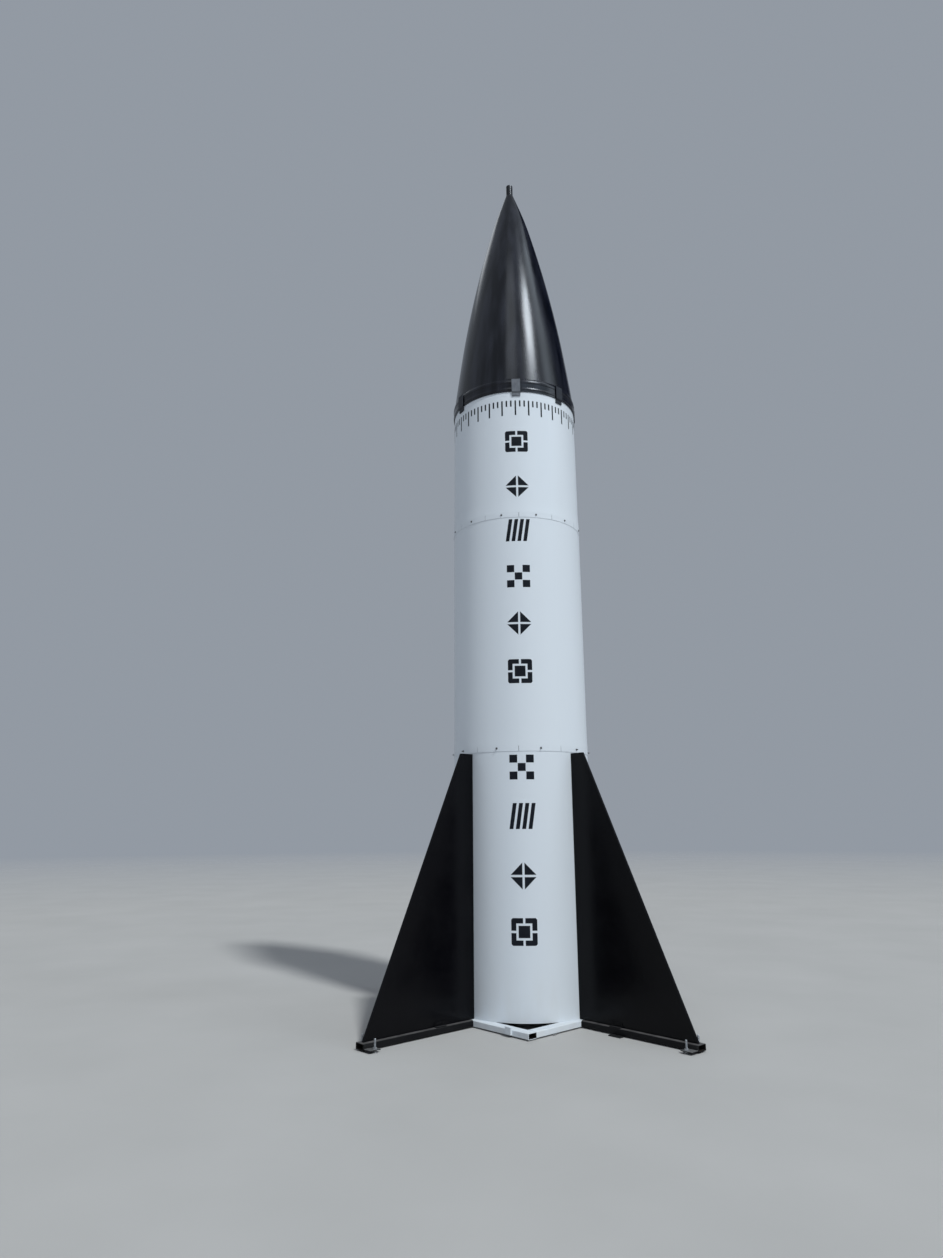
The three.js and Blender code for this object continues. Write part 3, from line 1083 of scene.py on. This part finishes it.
def add_floor():
    """A pale floor that fades into the backdrop far from the rocket."""
    bm = bmesh.new()
    bmesh.ops.create_circle(bm, cap_ends=True, segments=96, radius=FLOOR_RADIUS)
    bmesh.ops.translate(bm, vec=(0, 0, -0.001), verts=bm.verts)
    finish = start_finish("pale_floor", {"Roughness": 0.85, "Specular IOR Level": 0.2})
    wear = grain(finish, 0.8, detail=6.0)
    drive(finish, "Base Color", mix_colours(
        finish, spread(finish, wear, 0.0, 1.0), (0.4, 0.395, 0.387), (0.43, 0.424, 0.416)
    ))
    place = add_node(finish, "ShaderNodeTexCoord").outputs["Object"]
    distance = add_node(finish, "ShaderNodeVectorMath", [("Vector", place)], operation="LENGTH")
    drive(finish, "Alpha", spread(
        finish, distance.outputs["Value"], 1.0, 0.0, FADE_START, FADE_END
    ))
    make_object("floor", bm, [finish])


def direction(azimuth, elevation):
    """The unit vector towards an azimuth and an elevation."""
    turned = facing(azimuth).to_3x3() @ Matrix.Rotation(-math.radians(elevation), 3, "Y")
    return turned @ Vector((1, 0, 0))


def add_softbox(name, azimuth, elevation, distance, size, power, colour):
    """A rectangular light, width by height, aimed at the middle of the rocket."""
    lamp = bpy.data.lights.new(name, "AREA")
    lamp.shape = "RECTANGLE"
    lamp.size, lamp.size_y = size
    lamp.energy = power
    lamp.color = colour
    light = bpy.data.objects.new(name, lamp)
    towards = direction(azimuth, elevation)
    light.location = LIT_POINT + towards * distance
    light.rotation_euler = towards.to_track_quat("Z", "Y").to_euler()
    bpy.context.scene.collection.objects.link(light)
    return light


def add_key_light():
    """The main light, high on the right, soft edged and even over the whole height."""
    lamp = bpy.data.lights.new("key", "SUN")
    lamp.energy = 2.5
    lamp.angle = math.radians(5)
    lamp.color = (0.955, 0.995, 1.0)
    light = bpy.data.objects.new("key", lamp)
    light.rotation_euler = direction(40, 54).to_track_quat("Z", "Y").to_euler()
    light.visible_glossy = False
    bpy.context.scene.collection.objects.link(light)


def add_light():
    """The backdrop, the lights and the cards round the rocket."""
    world = bpy.data.worlds.new("studio")
    world.use_nodes = True
    backdrop = world.node_tree.nodes["Background"]
    backdrop.inputs["Color"].default_value = (0.29, 0.322, 0.367, 1)
    backdrop.inputs["Strength"].default_value = 1.0
    bpy.context.scene.world = world
    bpy.context.scene.view_settings.view_transform = "Standard"
    add_key_light()
    fill = add_softbox("front_fill", -15, 30, 20, (5, 10), 420, (0.93, 0.96, 1.0))
    fill.visible_glossy = False
    add_softbox("right_fill", 76, 45, 24, (5, 16), 450, (0.76, 0.88, 1.0))
    # Cards that only show in reflections, and so draw the gloss of the nose and its ring
    glint = add_softbox("key_glint", 43, 53, 30, (5.6, 6.0), 2700, (0.84, 0.92, 1.0))
    strip = add_softbox("front_strip", -4, 53, 24, (6, 10), 240, (0.86, 0.93, 1.0))
    rim = add_softbox("rim_card", -145, 54, 24, (8, 5), 125, (0.9, 0.95, 1.0))
    ring = add_softbox("ring_card", 40, 28, 20, (24, 5), 420, (0.6, 0.82, 1.0))
    flank = add_softbox("flank_card", 94, 45, 24, (6, 16), 200, (0.76, 0.88, 1.0))
    for card in (glint, strip, rim, ring, flank):
        card.visible_diffuse = False


def add_flag():
    """A dark card behind on the right, seen only in reflections, that darkens the nose's right rim."""
    towards = direction(126, 47)
    place = Matrix.Translation(LIT_POINT + towards * 20)
    place @= towards.to_track_quat("Z", "Y").to_matrix().to_4x4()
    bm = bmesh.new()
    bmesh.ops.create_cube(bm, size=1)
    bmesh.ops.scale(bm, vec=(16, 11, 0.05), verts=bm.verts)
    bmesh.ops.transform(bm, matrix=place, verts=bm.verts)
    finish = start_finish("flag_blue_black", {"Roughness": 0.9, "Specular IOR Level": 0.1})
    drive(finish, "Base Color", mix_colours(
        finish, spread(finish, grain(finish, 0.5), 0.0, 1.0), (0.006, 0.011, 0.033), (0.01, 0.017, 0.053)
    ))
    flag = make_object("flag", bm, [finish])
    flag.visible_camera = False
    flag.visible_diffuse = False
    flag.visible_transmission = False
    flag.visible_shadow = False


def add_camera():
    """At eye height in front, a little to the left, looking up at the rocket."""
    lens = bpy.data.cameras.new("camera")
    lens.lens = 23.44
    lens.sensor_width = 36
    lens.clip_end = 200
    camera = bpy.data.objects.new("camera", lens)
    heading = Matrix.Rotation(math.radians(2.395), 4, "Z")
    pitch = Matrix.Rotation(math.radians(90 + 13.627), 4, "X")
    roll = Matrix.Rotation(math.radians(-0.372), 4, "Z")
    camera.matrix_world = Matrix.Translation((-0.12495, -7.4958, 1.533)) @ heading @ pitch @ roll
    bpy.context.scene.collection.objects.link(camera)
    bpy.context.scene.camera = camera


add_camera()
add_light()
add_floor()
add_flag()
add_body_sections()
add_rolled_welds()
add_slit_shade_band("lower_slit_shade_band", LOWER_SEAM)
add_slit_shade_band("upper_slit_shade_band", UPPER_SEAM)
add_seam_bolts("lower_seam_bolts", 10, -20.4, LOWER_SEAM + 0.026, 0.018)
add_seam_bolts("upper_seam_bolts", 12, 16.6, UPPER_SEAM + 0.027, 0)
add_nose()
add_nose_straps()
add_base_frame()
add_frame_welds()
add_small_plates()
for side, azimuth in SIDES.items():
    add_outrigger(side, azimuth)
    add_fin(side, azimuth)
    add_fin_cleats(side, azimuth)
    for letter in "ab":
        add_foot_bracket(side, azimuth, letter)
        add_levelling_foot(side, azimuth, letter)
add_mark_column()
add_scale_ring()
